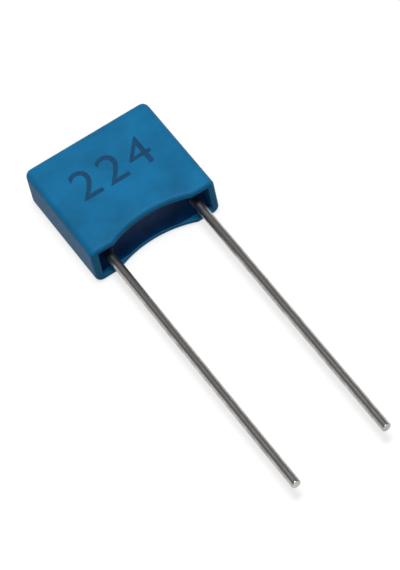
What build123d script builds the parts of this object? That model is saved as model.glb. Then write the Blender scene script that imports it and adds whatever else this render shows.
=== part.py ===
"""Boxed metallised polyester film capacitor with two radial leads, in millimetres.

The part lies on its broad back face. The origin is midway between the leads, in the plane
that the case's feet stand on. +X runs across the width towards the right lead, +Y towards
the closed top of the case, and +Z out of the marked broad face.
"""
import os

from build123d import *

# Outside of the moulded case
CASE_WIDTH = 7.2
CASE_HEIGHT = 6.5
CASE_THICKNESS = 2.5
EDGE_RADIUS = 0.4
LIP_RADIUS = 0.2

# Arched relief between the feet, in both broad walls
ARCH_SPAN = 4.6
ARCH_RISE = 0.5
FOOT_RADIUS = 0.2

# Cavity, which narrows towards the closed top so that the mould's core draws out
END_WALL = 0.4
BROAD_WALL = 0.35
TOP_WALL = 0.45
CAVITY_DRAFT = 1.0
CAVITY_CORNER_RADIUS = 0.2

# Potting resin, dished between the broad walls where it wets them
RESIN_DEPTH_AT_WALL = 0.56
RESIN_DISH = 0.1

# Film element: a block of metallised film between two blank cover films, with a layer of
# sprayed metal on each end
FILM_WIDTH = 4.2
FILM_THICKNESS = 1.08
COVER_THICKNESS = 0.12
SPRAY_THICKNESS = 0.3
SPRAY_EDGE_RADIUS = 0.1
ELEMENT_BOTTOM = 1.25
ELEMENT_HEIGHT = 4.5

# Tinned round wire leads. Each is spread from the element's end to the lead pitch within
# the mouth, and its tail is pressed flat and sunk into the sprayed metal by the weld
LEAD_PITCH = 5.08
LEAD_DIAMETER = 0.5
LEAD_FREE_LENGTH = 16.3
LEAD_TIP_CHAMFER = 0.05
LEAD_BEND_RADIUS = 0.5
TAIL_THICKNESS = 0.3
TAIL_WIDTH = 0.62
TAIL_CORNER_RADIUS = 0.08
TAIL_SINK = 0.12
SPREAD_BOTTOM = 0.08
SPREAD_TOP = 0.9
TAIL_BOTTOM = 1.2
TAIL_TOP = 4.8

# Worked out from the above
LEAD_RADIUS = LEAD_DIAMETER / 2
LEAD_X = LEAD_PITCH / 2
SPRAY_OUTER_X = FILM_WIDTH / 2 + SPRAY_THICKNESS
TAIL_X = SPRAY_OUTER_X - TAIL_SINK + TAIL_THICKNESS / 2
ELEMENT_THICKNESS = FILM_THICKNESS + 2 * COVER_THICKNESS
ELEMENT_MIDDLE_Y = ELEMENT_BOTTOM + ELEMENT_HEIGHT / 2
CAVITY_WIDTH = CASE_WIDTH - 2 * END_WALL
CAVITY_THICKNESS = CASE_THICKNESS - 2 * BROAD_WALL
CAVITY_HEIGHT = CASE_HEIGHT - TOP_WALL

# How far a cutting tool runs past what it cuts
OVERSHOOT = 1.0


def arc_radius(chord, rise):
    """Radius of the circle whose arc has this chord and rise."""
    return (chord**2 / 4 + rise**2) / (2 * rise)


def cavity():
    """The hollow of the case, and so the outside of the resin that fills it."""
    mouth = Plane.XZ * Rectangle(CAVITY_WIDTH, CAVITY_THICKNESS)
    mouth = fillet(mouth.vertices(), CAVITY_CORNER_RADIUS)
    return extrude(mouth, amount=CAVITY_HEIGHT, dir=(0, 1, 0), taper=CAVITY_DRAFT)


def arch_relief():
    """What is cut from both broad walls to leave the feet: an arch that rolls onto the seat."""
    radius = arc_radius(ARCH_SPAN, ARCH_RISE)
    arch = Pos(0, ARCH_RISE - radius) * Circle(radius)
    below_seat = Pos(0, -radius) * Rectangle(2 * CASE_WIDTH, 2 * radius)
    profile = arch + below_seat
    shoulders = profile.vertices().filter_by_position(Axis.Y, -0.01, 0.01)
    shoulders = shoulders.filter_by_position(Axis.X, -ARCH_SPAN, ARCH_SPAN)
    profile = fillet(shoulders, FOOT_RADIUS)
    return extrude(profile, amount=CASE_THICKNESS, both=True)


def is_on_lip(edge):
    """Whether an edge of the case without its cavity runs round the outside of the mouth."""
    middle = edge.center()
    on_end = abs(middle.X) > CASE_WIDTH / 2 - 0.01
    on_broad_side = abs(middle.Z) > CASE_THICKNESS / 2 - EDGE_RADIUS
    return middle.Y < ARCH_RISE + 0.01 and (on_end or on_broad_side)


def make_case():
    shell = Pos(0, CASE_HEIGHT / 2, 0) * Box(CASE_WIDTH, CASE_HEIGHT, CASE_THICKNESS)
    seat_edges = shell.faces().sort_by(Axis.Y)[0].edges()
    shell = fillet(shell.edges() - seat_edges, EDGE_RADIUS)
    shell = shell - arch_relief()
    shell = fillet(shell.edges().filter_by(is_on_lip), LIP_RADIUS)
    return shell - cavity()


def resin_surface_cutter():
    """The air in the mouth below the resin: a drum along the width, tangent to the dish."""
    radius = arc_radius(CAVITY_THICKNESS, RESIN_DISH)
    crown = RESIN_DEPTH_AT_WALL + RESIN_DISH
    drum = Rot(0, 90, 0) * Cylinder(radius, CASE_WIDTH)
    return Pos(0, crown - radius, 0) * drum


def make_resin_fill(embedded):
    resin = cavity() - resin_surface_cutter()
    for piece in embedded:
        resin -= piece
    return resin


def element_slab(thickness, z):
    """A film layer across the element, between the end sprays."""
    slab = Box(FILM_WIDTH, ELEMENT_HEIGHT, thickness)
    return Pos(0, ELEMENT_MIDDLE_Y, z) * slab


def make_film_stack():
    return element_slab(FILM_THICKNESS, 0)


def make_cover_film(side):
    """Blank film on one broad side of the stack; side is 1 at the front and -1 at the back."""
    return element_slab(COVER_THICKNESS, side * (FILM_THICKNESS + COVER_THICKNESS) / 2)


def make_wire():
    """The round part of the right lead, from its cut tip to the end of its spread."""
    path = FilletPolyline(
        (LEAD_X, -LEAD_FREE_LENGTH), (LEAD_X, SPREAD_BOTTOM), (TAIL_X, SPREAD_TOP),
        radius=LEAD_BEND_RADIUS)
    wire = sweep(Plane(path @ 0, z_dir=path % 0) * Circle(LEAD_RADIUS), path=path)
    tip = wire.edges().sort_by(Axis.Y)[0]
    return chamfer(tip, LEAD_TIP_CHAMFER)


def make_tail(wire):
    """The pressed tail of the right lead, drawn out of the end of the round wire."""
    section = Pos(TAIL_X, TAIL_BOTTOM, 0) * Rot(-90, 0, 0) * RectangleRounded(
        TAIL_THICKNESS, TAIL_WIDTH, TAIL_CORNER_RADIUS)
    wire_end = wire.faces().sort_by(Axis.Y)[-1]
    shoulder = loft([wire_end, section])
    return shoulder + extrude(section, amount=TAIL_TOP - TAIL_BOTTOM)


def make_lead(side):
    """One lead; side is 1 on the right and -1 on the left."""
    wire = make_wire()
    lead = wire + make_tail(wire)
    return lead if side > 0 else mirror(lead, about=Plane.YZ)


def make_end_spray(side, lead):
    """Sprayed metal contact on one end of the film block, dented by the tail welded to it."""
    spray = Box(SPRAY_THICKNESS, ELEMENT_HEIGHT, ELEMENT_THICKNESS)
    middle_x = side * (SPRAY_OUTER_X - SPRAY_THICKNESS / 2)
    spray = Pos(middle_x, ELEMENT_MIDDLE_Y, 0) * spray
    outer_face = spray.faces().sort_by(Axis.X)[-1 if side > 0 else 0]
    spray = fillet(outer_face.edges(), SPRAY_EDGE_RADIUS)
    return spray - lead


def make_nodes():
    left_lead = make_lead(-1)
    right_lead = make_lead(1)
    nodes = {
        "case": make_case(),
        "film_stack": make_film_stack(),
        "front_cover_film": make_cover_film(1),
        "back_cover_film": make_cover_film(-1),
        "left_end_spray": make_end_spray(-1, left_lead),
        "right_end_spray": make_end_spray(1, right_lead),
        "left_lead": left_lead,
        "right_lead": right_lead,
    }
    embedded = [piece for name, piece in nodes.items() if name != "case"]
    nodes["resin_fill"] = make_resin_fill(embedded)
    return nodes


os.makedirs("parts", exist_ok=True)
for node_name, node_shape in make_nodes().items():
    export_step(node_shape, f"parts/{node_name}.step")
    print(node_name, round(node_shape.volume, 3))
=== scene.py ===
"""Looks of a boxed film capacitor that lies on its back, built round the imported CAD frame.

Pieces are shaped in millimetres in the frame's own axes: +X across the width, +Y towards the
closed top of the case, +Z out of the marked face. They are turned to metres when finished.
"""
import math

import bmesh
import bpy
from mathutils import Matrix, Vector


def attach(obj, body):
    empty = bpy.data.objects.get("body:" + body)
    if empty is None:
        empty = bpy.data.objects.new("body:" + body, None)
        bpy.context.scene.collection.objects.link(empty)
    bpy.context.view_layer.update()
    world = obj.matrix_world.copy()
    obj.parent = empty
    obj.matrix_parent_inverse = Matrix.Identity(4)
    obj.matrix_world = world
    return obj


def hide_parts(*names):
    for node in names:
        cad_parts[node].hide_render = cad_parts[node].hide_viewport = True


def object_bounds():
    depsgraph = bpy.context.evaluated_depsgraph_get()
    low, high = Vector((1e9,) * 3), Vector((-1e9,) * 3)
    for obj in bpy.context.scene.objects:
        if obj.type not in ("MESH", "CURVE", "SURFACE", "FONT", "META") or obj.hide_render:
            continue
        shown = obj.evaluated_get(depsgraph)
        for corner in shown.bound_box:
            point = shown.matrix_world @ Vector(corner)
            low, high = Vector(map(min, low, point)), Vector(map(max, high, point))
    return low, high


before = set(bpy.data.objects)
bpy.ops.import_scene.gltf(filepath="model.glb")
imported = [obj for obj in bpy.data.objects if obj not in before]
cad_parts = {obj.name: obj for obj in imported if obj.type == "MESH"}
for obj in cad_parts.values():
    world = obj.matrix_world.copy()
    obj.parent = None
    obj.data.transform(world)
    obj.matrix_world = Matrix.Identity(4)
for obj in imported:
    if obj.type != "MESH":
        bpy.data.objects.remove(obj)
cad_low, cad_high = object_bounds()

MM = 0.001


def in_mm(metres):
    """A length read from the frame, in millimetres and without its rounding error."""
    return round(metres / MM, 3)


# Outside of the moulded case
CASE_WIDTH = in_mm(cad_high.x - cad_low.x)
CASE_HEIGHT = in_mm(cad_high.y)
CASE_THICKNESS = in_mm(cad_high.z - cad_low.z)
EDGE_RADIUS = 0.4
LIP_RADIUS = 0.2
INNER_LIP_RADIUS = 0.05

# Arched relief between the feet, in both broad walls
ARCH_SPAN = 4.6
ARCH_RISE = 0.5
FOOT_RADIUS = 0.2

# Cavity, which narrows towards the closed top
END_WALL = 0.4
BROAD_WALL = 0.35
TOP_WALL = 0.45
CAVITY_DRAFT = math.radians(1.0)

# How deep the broad walls sank as the moulding cooled, and the area that sank
SINK_DEPTH = 0.035
SINK_MIDDLE_Y = 3.6
SINK_HALF_WIDTH = 3.2
SINK_HALF_HEIGHT = 2.5

# Gate mark in the closed top, and the slopes of the stub that broke off unevenly in it
GATE_RADIUS = 0.45
GATE_DEPTH = 0.06
STUB_HEIGHT = 0.03
STUB_SLOPE_X = 0.12
STUB_SLOPE_Z = 0.06

# Wire leads, which are spread within the mouth, and whose tails are pressed flat where they
# are welded
LEAD_PITCH = 5.08
LEAD_RADIUS = 0.25
LEAD_TIP = in_mm(cad_low.y)
TIP_ROUNDING = 0.04
TIP_SHOULDER_UP = 0.01
TIP_SHOULDER_IN = 0.015
SPREAD_BOTTOM = 0.1
SPREAD_TOP = 0.85
BEND_REACH = 0.05
BEND_SHIFT = 0.01
TAIL_X = 2.43
TAIL_HALF_THICKNESS = 0.15
TAIL_HALF_WIDTH = 0.31
TAIL_BOTTOM = 1.2
TAIL_TOP = 4.8

# Potting resin: where it meets the walls, how far it is dished between them, and how high it
# climbs each thing that it wets and over what reach
RESIN_DEPTH = 0.56
RESIN_DISH = 0.1
END_CLIMB = 0.12
END_REACH = 0.15
BROAD_CLIMB = 0.22
BROAD_REACH = 0.12
WIRE_CLIMB = 0.16
WIRE_REACH = 0.1
WIRE_EXIT_X = 2.48
BARE_RIM = 0.05

# The resin's skin is a sheet that starts just behind the CAD's surface
SKIN_IN_FRONT = 0.02
SKIN_BEHIND = 0.03

# Marking, whose ink stands off the face and is cut into squares about the sunken area's middle
MARKING = "224"
MARKING_SIZE = 2.7
MARKING_SPACING = 1.15
MARKING_Y = 3.7
INK_HALF_DEPTH = 0.02
INK_PROUD = 0.008
INK_CUT_STEP = 0.25
INK_CUTS_EACH_WAY = 12

# Floor, light and camera, in metres and watts, with the lens and the sensor in millimetres;
# each direction is the one from the object
FLOOR_RADIUS = 0.4
SKY_STRENGTH = 0.36
CEILING_STRENGTH = 0.16
SOFTBOX_TOWARDS = (0.0, -0.04, 0.98)
SOFTBOX_DISTANCE = 0.5
SOFTBOX_SIZE = 0.16
SOFTBOX_POWER = 1.7
CAMERA_TOWARDS = (-0.215, -0.545, 0.81)
CAMERA_DISTANCE = 0.172
CAMERA_ROLL = math.radians(31.4)
CAMERA_LENS = 225
CAMERA_SENSOR = 36
CAMERA_TARGET = (0.0, -0.004, 0.0)

# Worked out from the above
MOUTH_WIDTH = CASE_WIDTH - 2 * END_WALL
MOUTH_THICKNESS = CASE_THICKNESS - 2 * BROAD_WALL
CAVITY_HEIGHT = CASE_HEIGHT - TOP_WALL
LEAD_X = LEAD_PITCH / 2

# The arch is a circle whose shoulders roll onto the seat of the feet: where it starts to roll,
# and where the feet are flat
ARCH_RADIUS = (ARCH_SPAN ** 2 / 4 + ARCH_RISE ** 2) / (2 * ARCH_RISE)
ARCH_MIDDLE_Y = ARCH_RISE - ARCH_RADIUS
FLAT_FROM_X = math.sqrt((ARCH_RADIUS + FOOT_RADIUS) ** 2 - (FOOT_RADIUS - ARCH_MIDDLE_Y) ** 2)
ROLL_FROM_X = FLAT_FROM_X * ARCH_RADIUS / (ARCH_RADIUS + FOOT_RADIUS)

# How near to a plane counts as on it, and how near counts as touching when cutting or merging
CLOSE = 0.001
TOUCHING = 0.00001

# Turns a flat shape to face -Y
FACING_Y = Matrix.Rotation(math.radians(90), 3, "X")


# Making pieces

def new_object(name, data):
    """An object of the scene with this data: a mesh, a text, a light or a camera."""
    made = bpy.data.objects.new(name, data)
    bpy.context.scene.collection.objects.link(made)
    return made


def mesh_object(bm, name, material):
    """An object of the scene with the shape of a bmesh, which it uses up."""
    mesh = bpy.data.meshes.new(name)
    bm.to_mesh(mesh)
    bm.free()
    mesh.materials.append(material)
    return new_object(name, mesh)


def finish_piece(bm, name, material):
    """Turns a bmesh in millimetres into a piece that rides on the object."""
    bmesh.ops.scale(bm, vec=(MM, MM, MM), verts=bm.verts)
    piece = mesh_object(bm, name, material)
    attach(piece, "root")
    return piece


def shade_smooth(piece, sharp_angle):
    """Smooth shading that keeps broad faces flat beside narrow rounded edges."""
    piece.data.shade_smooth()
    piece.data.set_sharp_from_angle(angle=math.radians(sharp_angle))
    weighted = piece.modifiers.new("even_shading", "WEIGHTED_NORMAL")
    weighted.keep_sharp = True


def bisect(bm, point, normal):
    """Cuts every face that a plane crosses, and keeps both sides."""
    bmesh.ops.bisect_plane(
        bm, geom=bm.verts[:] + bm.edges[:] + bm.faces[:], dist=TOUCHING,
        plane_co=point, plane_no=normal)


def extrude(bm, faces, keep=False):
    """Extrudes faces in place and returns the new ones. With keep, the old ones stay and
    close the shape behind them."""
    grown = bmesh.ops.extrude_face_region(bm, geom=faces)["geom"]
    if not keep:
        bmesh.ops.delete(bm, geom=faces, context="FACES")
    return [f for f in grown if isinstance(f, bmesh.types.BMFace)]


def verts_of(faces):
    """The corners of some faces, each once."""
    return list(dict.fromkeys(v for f in faces for v in f.verts))


def round_edges(bm, edges, radius, segments):
    bmesh.ops.bevel(
        bm, geom=edges, offset=radius, offset_type="OFFSET", segments=segments,
        profile=0.5, affect="EDGES", material=-1)


# Materials

def linear(hex_colour):
    """An sRGB hex colour as the linear values that Blender's sockets take."""
    values = [int(hex_colour[i:i + 2], 16) / 255 for i in (1, 3, 5)]
    return [v / 12.92 if v <= 0.04045 else ((v + 0.055) / 1.055) ** 2.4 for v in values] + [1.0]


def add(tree, kind, inputs=(), **settings):
    """Adds a node; an input is a value for that socket, or another node's socket to link."""
    node = tree.nodes.new(kind)
    for name, value in settings.items():
        setattr(node, name, value)
    for name, value in dict(inputs).items():
        if isinstance(value, bpy.types.NodeSocket):
            tree.links.new(value, node.inputs[name])
        else:
            node.inputs[name].default_value = value
    return node


def set_stops(ramp, *stops):
    """Sets a colour ramp's two stops; each is a position and an sRGB hex colour."""
    for element, (position, hex_colour) in zip(ramp.color_ramp.elements, stops):
        element.position = position
        element.color = linear(hex_colour)


def new_material(name):
    """A material with empty nodes, and the place on the piece that its patterns go by."""
    material = bpy.data.materials.new(name)
    material.use_nodes = True
    tree = material.node_tree
    tree.nodes.clear()
    place = add(tree, "ShaderNodeTexCoord").outputs["Object"]
    return material, tree, place


def per_metre(size_mm):
    """Texture scale at which a pattern repeats about every size_mm."""
    return 1 / (size_mm * MM)


def moulded_pbt():
    """PBT, injection-moulded in a spark-eroded mould: an even blue with a satin, finely
    grained skin, slightly cloudy where the melt flowed."""
    material, tree, place = new_material("moulded_pbt")
    clouds = add(tree, "ShaderNodeTexNoise", {
        "Vector": place, "Scale": per_metre(1.6), "Detail": 3.0, "Roughness": 0.55})
    colour = add(tree, "ShaderNodeValToRGB", {"Fac": clouds.outputs["Fac"]})
    set_stops(colour, (0.3, "#04628E"), (0.7, "#0A72A4"))
    # the erosion pits are about 0.03 mm across, drawn twice as coarse so that they show
    grain = add(tree, "ShaderNodeTexNoise", {
        "Vector": place, "Scale": per_metre(0.07), "Detail": 2.0, "Roughness": 0.6})
    gloss = add(tree, "ShaderNodeMapRange", {
        "Value": grain.outputs["Fac"], "From Min": 0.3, "From Max": 0.7,
        "To Min": 0.5, "To Max": 0.6})
    bump = add(tree, "ShaderNodeBump", {
        "Height": grain.outputs["Fac"], "Strength": 0.35, "Distance": 0.006 * MM})
    shader = add(tree, "ShaderNodeBsdfPrincipled", {
        "Base Color": colour.outputs["Color"], "Roughness": gloss.outputs["Result"],
        "IOR": 1.55, "Specular IOR Level": 0.15, "Normal": bump.outputs["Normal"]})
    add(tree, "ShaderNodeOutputMaterial", {"Surface": shader.outputs["BSDF"]})
    return material


def marking_ink():
    """Dark blue ink, pad-printed: matt and thin, so it barely stands off the plastic."""
    material, tree, place = new_material("pad_printed_ink")
    wear = add(tree, "ShaderNodeTexNoise", {
        "Vector": place, "Scale": per_metre(0.25), "Detail": 4.0, "Roughness": 0.65})
    colour = add(tree, "ShaderNodeValToRGB", {"Fac": wear.outputs["Fac"]})
    set_stops(colour, (0.35, "#083F62"), (0.75, "#0B4F78"))
    shader = add(tree, "ShaderNodeBsdfPrincipled", {
        "Base Color": colour.outputs["Color"], "Roughness": 0.6, "IOR": 1.5,
        "Specular IOR Level": 0.2})
    add(tree, "ShaderNodeOutputMaterial", {"Surface": shader.outputs["BSDF"]})
    return material


def potting_epoxy():
    """Blue-black epoxy, poured and cured: its skin has slow ripples and a few pinholes, and
    has dulled to a satin."""
    material, tree, place = new_material("potting_epoxy")
    ripples = add(tree, "ShaderNodeTexNoise", {
        "Vector": place, "Scale": per_metre(0.9), "Detail": 2.0, "Roughness": 0.4})
    pinholes = add(tree, "ShaderNodeTexVoronoi", {
        "Vector": place, "Scale": per_metre(0.45), "Randomness": 1.0})
    pits = add(tree, "ShaderNodeMapRange", {
        "Value": pinholes.outputs["Distance"], "From Min": 0.06, "From Max": 0.16,
        "To Min": 0.0, "To Max": 1.0})
    slow = add(tree, "ShaderNodeBump", {
        "Height": ripples.outputs["Fac"], "Strength": 0.6, "Distance": 0.05 * MM})
    fine = add(tree, "ShaderNodeBump", {
        "Height": pits.outputs["Result"], "Strength": 0.5, "Distance": 0.01 * MM,
        "Normal": slow.outputs["Normal"]})
    tint = add(tree, "ShaderNodeValToRGB", {"Fac": ripples.outputs["Fac"]})
    set_stops(tint, (0.35, "#04284F"), (0.7, "#083668"))
    shader = add(tree, "ShaderNodeBsdfPrincipled", {
        "Base Color": tint.outputs["Color"], "Roughness": 0.45, "IOR": 1.5,
        "Specular IOR Level": 0.04, "Normal": fine.outputs["Normal"]})
    add(tree, "ShaderNodeOutputMaterial", {"Surface": shader.outputs["BSDF"]})
    return material


def tinned_wire():
    """Tinned copper wire, drawn and then dipped: grey and satin, with draw lines along it
    and a faint bloom where the tin has dulled."""
    material, tree, place = new_material("tinned_wire")
    # draw lines run along Y, each about 0.05 mm wide and several millimetres long
    along = add(tree, "ShaderNodeMapping", {"Vector": place, "Scale": (1.0, 0.01, 1.0)})
    lines = add(tree, "ShaderNodeTexNoise", {
        "Vector": along.outputs["Vector"], "Scale": per_metre(0.05), "Detail": 3.0,
        "Roughness": 0.6})
    bloom = add(tree, "ShaderNodeTexNoise", {
        "Vector": place, "Scale": per_metre(0.5), "Detail": 5.0, "Roughness": 0.65})
    colour = add(tree, "ShaderNodeValToRGB", {"Fac": bloom.outputs["Fac"]})
    set_stops(colour, (0.35, "#9F9D9A"), (0.7, "#C1BFBB"))
    gloss = add(tree, "ShaderNodeMapRange", {
        "Value": bloom.outputs["Fac"], "From Min": 0.3, "From Max": 0.7,
        "To Min": 0.38, "To Max": 0.24})
    bump = add(tree, "ShaderNodeBump", {
        "Height": lines.outputs["Fac"], "Strength": 0.4, "Distance": 0.008 * MM})
    shader = add(tree, "ShaderNodeBsdfPrincipled", {
        "Base Color": colour.outputs["Color"], "Metallic": 1.0,
        "Roughness": gloss.outputs["Result"], "Normal": bump.outputs["Normal"]})
    add(tree, "ShaderNodeOutputMaterial", {"Surface": shader.outputs["BSDF"]})
    return material


def stacked_film():
    """Aluminium-metallised polyester film, stacked: silvery, with its layers edge-on as
    fine bands through the thickness."""
    material, tree, place = new_material("metallised_polyester")
    # the layers are about 0.002 mm thick, drawn as light and dark bands of about 0.03 mm each
    layers = add(tree, "ShaderNodeTexWave", {
        "Vector": place, "Scale": per_metre(0.03) / (2 * math.pi), "Distortion": 0.6,
        "Detail": 1.0}, wave_type="BANDS", bands_direction="Z")
    colour = add(tree, "ShaderNodeValToRGB", {"Fac": layers.outputs["Fac"]})
    set_stops(colour, (0.0, "#8F9398"), (1.0, "#C9CBCD"))
    shader = add(tree, "ShaderNodeBsdfPrincipled", {
        "Base Color": colour.outputs["Color"], "Metallic": 1.0, "Roughness": 0.3})
    add(tree, "ShaderNodeOutputMaterial", {"Surface": shader.outputs["BSDF"]})
    return material


def blank_film():
    """Clear polyester film in several turns: milky and glossy, with faint wrinkles."""
    material, tree, place = new_material("blank_polyester")
    wrinkles = add(tree, "ShaderNodeTexNoise", {
        "Vector": place, "Scale": per_metre(0.8), "Detail": 2.0, "Roughness": 0.5})
    colour = add(tree, "ShaderNodeValToRGB", {"Fac": wrinkles.outputs["Fac"]})
    set_stops(colour, (0.0, "#C8CCC9"), (1.0, "#DDE0DC"))
    bump = add(tree, "ShaderNodeBump", {
        "Height": wrinkles.outputs["Fac"], "Strength": 0.3, "Distance": 0.02 * MM})
    shader = add(tree, "ShaderNodeBsdfPrincipled", {
        "Base Color": colour.outputs["Color"], "Roughness": 0.2, "IOR": 1.6,
        "Normal": bump.outputs["Normal"]})
    add(tree, "ShaderNodeOutputMaterial", {"Surface": shader.outputs["BSDF"]})
    return material


def sprayed_zinc():
    """Zinc, flame-sprayed: a dull grey crust of flattened droplets, rough and pitted."""
    material, tree, place = new_material("sprayed_zinc")
    droplets = add(tree, "ShaderNodeTexVoronoi", {
        "Vector": place, "Scale": per_metre(0.08), "Randomness": 1.0})
    colour = add(tree, "ShaderNodeValToRGB", {"Fac": droplets.outputs["Distance"]})
    set_stops(colour, (0.0, "#A5A6A6"), (1.0, "#77797B"))
    bump = add(tree, "ShaderNodeBump", {
        "Height": droplets.outputs["Distance"], "Strength": 0.8, "Distance": 0.02 * MM})
    shader = add(tree, "ShaderNodeBsdfPrincipled", {
        "Base Color": colour.outputs["Color"], "Metallic": 1.0, "Roughness": 0.6,
        "Normal": bump.outputs["Normal"]})
    add(tree, "ShaderNodeOutputMaterial", {"Surface": shader.outputs["BSDF"]})
    return material


def seen_directly(tree):
    """1 for the camera's rays, and for what metal or glass shows of the surroundings."""
    path = add(tree, "ShaderNodeLightPath")
    seen = add(tree, "ShaderNodeMath", {
        0: path.outputs["Is Camera Ray"], 1: path.outputs["Is Glossy Ray"]},
        operation="MAXIMUM")
    seen = add(tree, "ShaderNodeMath", {
        0: seen.outputs["Value"], 1: path.outputs["Is Transmission Ray"]},
        operation="MAXIMUM")
    return seen.outputs["Value"]


def white_paper():
    """Matt white paper. The camera and reflections see it white; what it throws back onto
    the object is weaker, as from paper that lies further off."""
    material, tree, _ = new_material("matt_white_paper")
    paper = add(tree, "ShaderNodeBsdfDiffuse", {"Color": linear("#989898")})
    glow = add(tree, "ShaderNodeEmission", {"Color": linear("#FFFFFF"), "Strength": 0.72})
    lit = add(tree, "ShaderNodeAddShader", {
        0: paper.outputs["BSDF"], 1: glow.outputs["Emission"]})
    bounce = add(tree, "ShaderNodeBsdfDiffuse", {"Color": linear("#343434")})
    shader = add(tree, "ShaderNodeMixShader", {
        "Fac": seen_directly(tree), 1: bounce.outputs["BSDF"], 2: lit.outputs["Shader"]})
    add(tree, "ShaderNodeOutputMaterial", {"Surface": shader.outputs["Shader"]})
    return material


# The case

def arch_height(x):
    """How far the mouth's edge is lifted off the seat of the feet at this x."""
    x = abs(x)
    if x >= FLAT_FROM_X:
        return 0.0
    if x > ROLL_FROM_X:
        return FOOT_RADIUS - math.sqrt(FOOT_RADIUS ** 2 - (FLAT_FROM_X - x) ** 2)
    return ARCH_MIDDLE_Y + math.sqrt(ARCH_RADIUS ** 2 - x ** 2)


def sink(x, y):
    """How far the broad walls have sunk at this point."""
    across = max(0.0, 1 - (x / SINK_HALF_WIDTH) ** 2)
    along = max(0.0, 1 - ((y - SINK_MIDDLE_Y) / SINK_HALF_HEIGHT) ** 2)
    return SINK_DEPTH * (across * along) ** 2


def make_block(bm):
    """The case before it is hollowed, with all but the mouth's four edges rounded."""
    bmesh.ops.create_cube(bm, size=1.0)
    bmesh.ops.scale(bm, vec=(CASE_WIDTH, CASE_HEIGHT, CASE_THICKNESS), verts=bm.verts)
    bmesh.ops.translate(bm, vec=(0, CASE_HEIGHT / 2, 0), verts=bm.verts)
    rounded = [e for e in bm.edges if max(v.co.y for v in e.verts) > CLOSE]
    round_edges(bm, rounded, EDGE_RADIUS, segments=8)


def mark_gate(bm):
    """Where the melt entered the mould: a shallow round recess in the closed top, with the
    stub of the broken-off runner in its middle."""
    top = max(bm.faces, key=lambda f: f.calc_center_median().y)
    border = top.edges[:]
    bmesh.ops.delete(bm, geom=[top], context="FACES_ONLY")
    ring = bmesh.ops.create_circle(bm, cap_ends=False, radius=GATE_RADIUS, segments=32)["verts"]
    bmesh.ops.rotate(bm, matrix=FACING_Y, verts=ring)
    bmesh.ops.translate(bm, vec=(0, CASE_HEIGHT, 0), verts=ring)
    ring_edges = list(dict.fromkeys(e for v in ring for e in v.link_edges))
    bmesh.ops.triangle_fill(bm, edges=border + ring_edges, use_beauty=True)
    recess = bmesh.ops.edgeloop_fill(bm, edges=ring_edges)["faces"]
    # down the recess's wall, in to the stub, and up the stub: how far each step goes in, and
    # its size against the one before
    for depth, size in ((GATE_DEPTH, 0.96), (0.0, 0.4), (-STUB_HEIGHT, 0.92)):
        recess = extrude(bm, recess)
        bmesh.ops.translate(bm, vec=(0, -depth, 0), verts=verts_of(recess))
        bmesh.ops.scale(bm, vec=(size, 1, size), verts=verts_of(recess))
    for v in verts_of(recess):
        v.co.y += STUB_SLOPE_X * v.co.x + STUB_SLOPE_Z * v.co.z


def cut_across(bm):
    """Cuts the block into strips, for the mouth to follow the arch and the walls to sink."""
    arch_steps = 12
    right_cuts = [ROLL_FROM_X * i / arch_steps for i in range(1, arch_steps + 1)]
    right_cuts += [(ROLL_FROM_X + FLAT_FROM_X) / 2, FLAT_FROM_X]
    left_cuts = [-x for x in right_cuts]
    for x in left_cuts + [0.0] + right_cuts:
        bisect(bm, (x, 0, 0), (1, 0, 0))
    # the lowest row stays twice as high, to leave the lip room for its rounding
    height_steps = 12
    for i in range(2, height_steps):
        bisect(bm, (0, CASE_HEIGHT * i / height_steps, 0), (0, 1, 0))


def open_mouth(bm):
    """Lifts the rim of the mouth to the arch, and hollows the cavity inside it."""
    mouth = [f for f in bm.faces if f.normal.y < -0.9]
    bmesh.ops.inset_region(bm, faces=mouth, thickness=BROAD_WALL, use_even_offset=True)
    widening = MOUTH_WIDTH / (CASE_WIDTH - 2 * BROAD_WALL)
    bmesh.ops.scale(bm, vec=(widening, 1, 1), verts=verts_of(mouth))
    for v in bm.verts:
        if v.co.y < CLOSE:
            v.co.y += arch_height(v.co.x)
    ceiling = verts_of(extrude(bm, mouth))
    narrowing = 2 * CAVITY_HEIGHT * math.tan(CAVITY_DRAFT)
    bmesh.ops.scale(bm, vec=(1 - narrowing / MOUTH_WIDTH, 1, 1 - narrowing / MOUTH_THICKNESS),
                    verts=ceiling)
    for v in ceiling:
        v.co.y = CAVITY_HEIGHT
    bmesh.ops.recalc_face_normals(bm, faces=bm.faces)


def is_outside(edge):
    """Whether an edge of the rim is on the case's outside, not at the cavity."""
    middle = (edge.verts[0].co + edge.verts[1].co) / 2
    past_end = abs(middle.x) > (CASE_WIDTH - END_WALL) / 2
    past_side = abs(middle.z) > (CASE_THICKNESS - BROAD_WALL) / 2
    return past_end or past_side


def round_rim(bm):
    """Rounds the rim's outer edge well, and only breaks its inner edge. Both turn by about a
    right angle."""
    rim = [e for e in bm.edges
           if e.is_manifold and max(v.co.y for v in e.verts) < ARCH_RISE + CLOSE
           and e.calc_face_angle() > math.radians(60)]
    outer = [e for e in rim if is_outside(e)]
    inner = [e for e in rim if not is_outside(e)]
    round_edges(bm, outer, LIP_RADIUS, segments=6)
    round_edges(bm, [e for e in inner if e.is_valid], INNER_LIP_RADIUS, segments=3)


def make_case(plastic):
    """The moulded case, open between its feet, with slightly sunken broad walls."""
    bm = bmesh.new()
    make_block(bm)
    mark_gate(bm)
    cut_across(bm)
    open_mouth(bm)
    round_rim(bm)
    for v in bm.verts:
        if abs(abs(v.co.z) - CASE_THICKNESS / 2) < CLOSE:
            v.co.z -= math.copysign(sink(v.co.x, v.co.y), v.co.z)
    case = finish_piece(bm, "moulded_case", plastic)
    shade_smooth(case, sharp_angle=50)
    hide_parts("case")


# The leads

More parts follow.
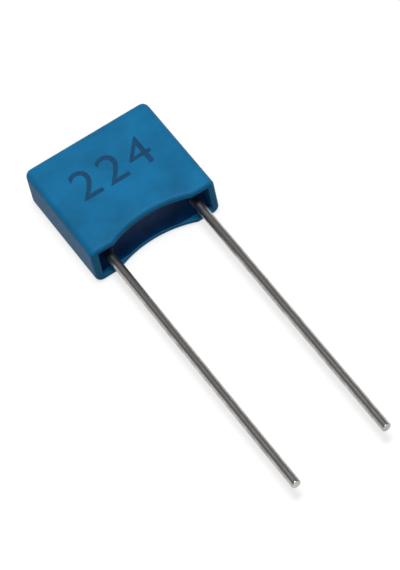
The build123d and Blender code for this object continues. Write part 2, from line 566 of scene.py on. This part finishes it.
def make_lead(side, wire):
    """Round wire from its cut tip to the resin, then pressed flat where it is welded; side
    is 1 on the right and -1 on the left."""
    bm = bmesh.new()
    bmesh.ops.create_circle(
        bm, cap_ends=True, radius=LEAD_RADIUS - TIP_ROUNDING, segments=48)
    bmesh.ops.rotate(bm, matrix=FACING_Y, verts=bm.verts)
    bmesh.ops.translate(bm, vec=(side * LEAD_X, LEAD_TIP, 0), verts=bm.verts)
    shoulder_radius = LEAD_RADIUS - TIP_SHOULDER_IN
    # the rounded tip, the two bends of the spread and the tail; each ring is a middle x, a y,
    # a half width across x and a half width across z
    rings = (
        (LEAD_X, LEAD_TIP + TIP_SHOULDER_UP, shoulder_radius, shoulder_radius),
        (LEAD_X, LEAD_TIP + TIP_ROUNDING, LEAD_RADIUS, LEAD_RADIUS),
        (LEAD_X, SPREAD_BOTTOM - BEND_REACH, LEAD_RADIUS, LEAD_RADIUS),
        (LEAD_X - BEND_SHIFT, SPREAD_BOTTOM + BEND_REACH, LEAD_RADIUS, LEAD_RADIUS),
        (TAIL_X + BEND_SHIFT, SPREAD_TOP - BEND_REACH, LEAD_RADIUS, LEAD_RADIUS),
        (TAIL_X, SPREAD_TOP + BEND_REACH, LEAD_RADIUS, LEAD_RADIUS),
        (TAIL_X, TAIL_BOTTOM, TAIL_HALF_THICKNESS, TAIL_HALF_WIDTH),
        (TAIL_X, TAIL_TOP, TAIL_HALF_THICKNESS, TAIL_HALF_WIDTH),
    )
    end = bm.faces[:]
    for i, (x, y, half_x, half_z) in enumerate(rings):
        end = extrude(bm, end, keep=i == 0)
        ring = verts_of(end)
        centre = sum((v.co for v in ring), Vector()) / len(ring)
        reach_x = max((v.co - centre).x for v in ring)
        reach_z = max((v.co - centre).z for v in ring)
        for v in ring:
            off = v.co - centre
            v.co = (side * x + off.x * half_x / reach_x, y, off.z * half_z / reach_z)
    bmesh.ops.recalc_face_normals(bm, faces=bm.faces)
    name = "right" if side > 0 else "left"
    lead = finish_piece(bm, name + "_wire_lead", wire)
    shade_smooth(lead, sharp_angle=40)
    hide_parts(name + "_lead")


# The resin's surface

def wetting(x, z):
    """How high the resin climbs at this point of the mouth, nearing a wall or a wire."""
    to_end = MOUTH_WIDTH / 2 - abs(x)
    to_broad = MOUTH_THICKNESS / 2 - abs(z)
    to_wire = max(0.0, math.hypot(abs(x) - WIRE_EXIT_X, z) - LEAD_RADIUS)
    # on the broad walls it stops short of the rim
    to_rim = max(0.0, RESIN_DEPTH - arch_height(x) - BARE_RIM)
    return (END_CLIMB * math.exp(-to_end / END_REACH)
            + WIRE_CLIMB * math.exp(-to_wire / WIRE_REACH)
            + min(BROAD_CLIMB, to_rim) * math.exp(-to_broad / BROAD_REACH))


def make_resin_surface(resin):
    """The free surface of the resin, climbing the walls and the wires where it wets them."""
    bm = bmesh.new()
    bmesh.ops.create_grid(bm, x_segments=128, y_segments=36, size=0.5)
    bmesh.ops.scale(bm, vec=(MOUTH_WIDTH, MOUTH_THICKNESS, 1), verts=bm.verts)
    bmesh.ops.rotate(bm, matrix=FACING_Y, verts=bm.verts)
    behind = set(verts_of(extrude(bm, bm.faces[:], keep=True)))
    for v in bm.verts:
        dish = RESIN_DISH * (1 - (2 * v.co.z / MOUTH_THICKNESS) ** 2)
        skin = SKIN_BEHIND if v in behind else -SKIN_IN_FRONT - wetting(v.co.x, v.co.z)
        v.co.y = RESIN_DEPTH + dish + skin
    bmesh.ops.recalc_face_normals(bm, faces=bm.faces)
    surface = finish_piece(bm, "resin_surface", resin)
    shade_smooth(surface, sharp_angle=60)


# The marking

def make_marking(ink):
    """Plain digits in the middle of the face, standing off it by the ink's thickness."""
    text = bpy.data.curves.new("marking_outline", "FONT")
    text.body = MARKING
    text.align_x = "CENTER"
    text.align_y = "CENTER"
    text.size = MARKING_SIZE
    text.space_character = MARKING_SPACING
    text.extrude = INK_HALF_DEPTH
    outline = new_object("marking_outline", text)
    bpy.context.view_layer.update()
    evaluated = outline.evaluated_get(bpy.context.evaluated_depsgraph_get())
    drawn = bpy.data.meshes.new_from_object(evaluated)
    bm = bmesh.new()
    bm.from_mesh(drawn)
    bpy.data.objects.remove(outline)
    bpy.data.curves.remove(text)
    bpy.data.meshes.remove(drawn)
    ink_middle_z = CASE_THICKNESS / 2 + INK_PROUD - INK_HALF_DEPTH
    bmesh.ops.translate(bm, vec=(0, MARKING_Y, ink_middle_z), verts=bm.verts)
    bmesh.ops.remove_doubles(bm, verts=bm.verts, dist=TOUCHING)
    # cut into small squares, the digits bend with the sunken face
    for i in range(-INK_CUTS_EACH_WAY, INK_CUTS_EACH_WAY + 1):
        bisect(bm, (i * INK_CUT_STEP, 0, 0), (1, 0, 0))
        bisect(bm, (0, SINK_MIDDLE_Y + i * INK_CUT_STEP, 0), (0, 1, 0))
    # the slivers that the cuts leave go again
    bmesh.ops.dissolve_degenerate(bm, dist=CLOSE, edges=bm.edges)
    for v in bm.verts:
        v.co.z -= sink(v.co.x, v.co.y)
    finish_piece(bm, "value_marking", ink)


# Floor, light and camera

def make_floor():
    """The white floor that the object lies on."""
    bm = bmesh.new()
    bmesh.ops.create_circle(bm, cap_ends=True, radius=FLOOR_RADIUS, segments=64)
    bmesh.ops.translate(bm, vec=(0, 0, cad_low.z), verts=bm.verts)
    floor = mesh_object(bm, "floor", white_paper())


def make_sky():
    """An even soft sky. The camera and reflections see a white backdrop that rises to about
    15 degrees all round, with a dark ceiling above it."""
    world = bpy.data.worlds.new("studio")
    world.use_nodes = True
    tree = world.node_tree
    tree.nodes.clear()
    towards = add(tree, "ShaderNodeTexCoord").outputs["Generated"]
    height = add(tree, "ShaderNodeSeparateXYZ", {"Vector": towards}).outputs["Z"]
    backdrop = add(tree, "ShaderNodeMapRange", {
        "Value": height, "From Min": 0.22, "From Max": 0.3,
        "To Min": 1 - SKY_STRENGTH, "To Max": CEILING_STRENGTH - SKY_STRENGTH})
    strength = add(tree, "ShaderNodeMath", {
        0: backdrop.outputs["Result"], 1: seen_directly(tree), 2: SKY_STRENGTH},
        operation="MULTIPLY_ADD")
    background = add(tree, "ShaderNodeBackground", {
        "Color": linear("#FFFFFF"), "Strength": strength.outputs["Value"]})
    add(tree, "ShaderNodeOutputWorld", {"Surface": background.outputs["Background"]})
    bpy.context.scene.world = world


def make_softbox():
    """A square soft light over the object, facing it."""
    light = bpy.data.lights.new("top_softbox", "AREA")
    light.shape = "SQUARE"
    light.size = SOFTBOX_SIZE
    light.energy = SOFTBOX_POWER
    lamp = new_object("top_softbox", light)
    towards = Vector(SOFTBOX_TOWARDS).normalized()
    lamp.location = towards * SOFTBOX_DISTANCE
    lamp.rotation_mode = "QUATERNION"
    lamp.rotation_quaternion = towards.to_track_quat("Z", "Y")


def make_camera():
    """A camera that looks down on the marked face from the side of the leads, rolled so that
    the leads run to the lower right."""
    data = bpy.data.cameras.new("camera")
    data.sensor_width = CAMERA_SENSOR
    data.lens = CAMERA_LENS
    data.clip_start = 0.01
    data.clip_end = 10
    back = Vector(CAMERA_TOWARDS).normalized()
    level = (Vector((1, 0, 0)) - back * back.x).normalized()
    rising = back.cross(level)
    right = level * math.cos(CAMERA_ROLL) - rising * math.sin(CAMERA_ROLL)
    up = level * math.sin(CAMERA_ROLL) + rising * math.cos(CAMERA_ROLL)
    turn = Matrix((right, up, back)).transposed().to_4x4()
    camera = new_object("camera", data)
    place = Vector(CAMERA_TARGET) + back * CAMERA_DISTANCE
    camera.matrix_world = Matrix.Translation(place) @ turn
    bpy.context.scene.camera = camera


# Putting it together

plastic = moulded_pbt()
ink = marking_ink()
resin = potting_epoxy()
wire = tinned_wire()
covers = blank_film()
spray = sprayed_zinc()

make_case(plastic)
make_lead(1, wire)
make_lead(-1, wire)
make_resin_surface(resin)
make_marking(ink)

finishes = {
    "case": plastic,
    "resin_fill": resin,
    "film_stack": stacked_film(),
    "front_cover_film": covers,
    "back_cover_film": covers,
    "left_end_spray": spray,
    "right_end_spray": spray,
    "left_lead": wire,
    "right_lead": wire,
}
for node_name, finish in finishes.items():
    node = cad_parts[node_name]
    node.data.materials.clear()
    node.data.materials.append(finish)

make_floor()
make_sky()
make_softbox()
make_camera()
bpy.context.scene.view_settings.view_transform = "Standard"
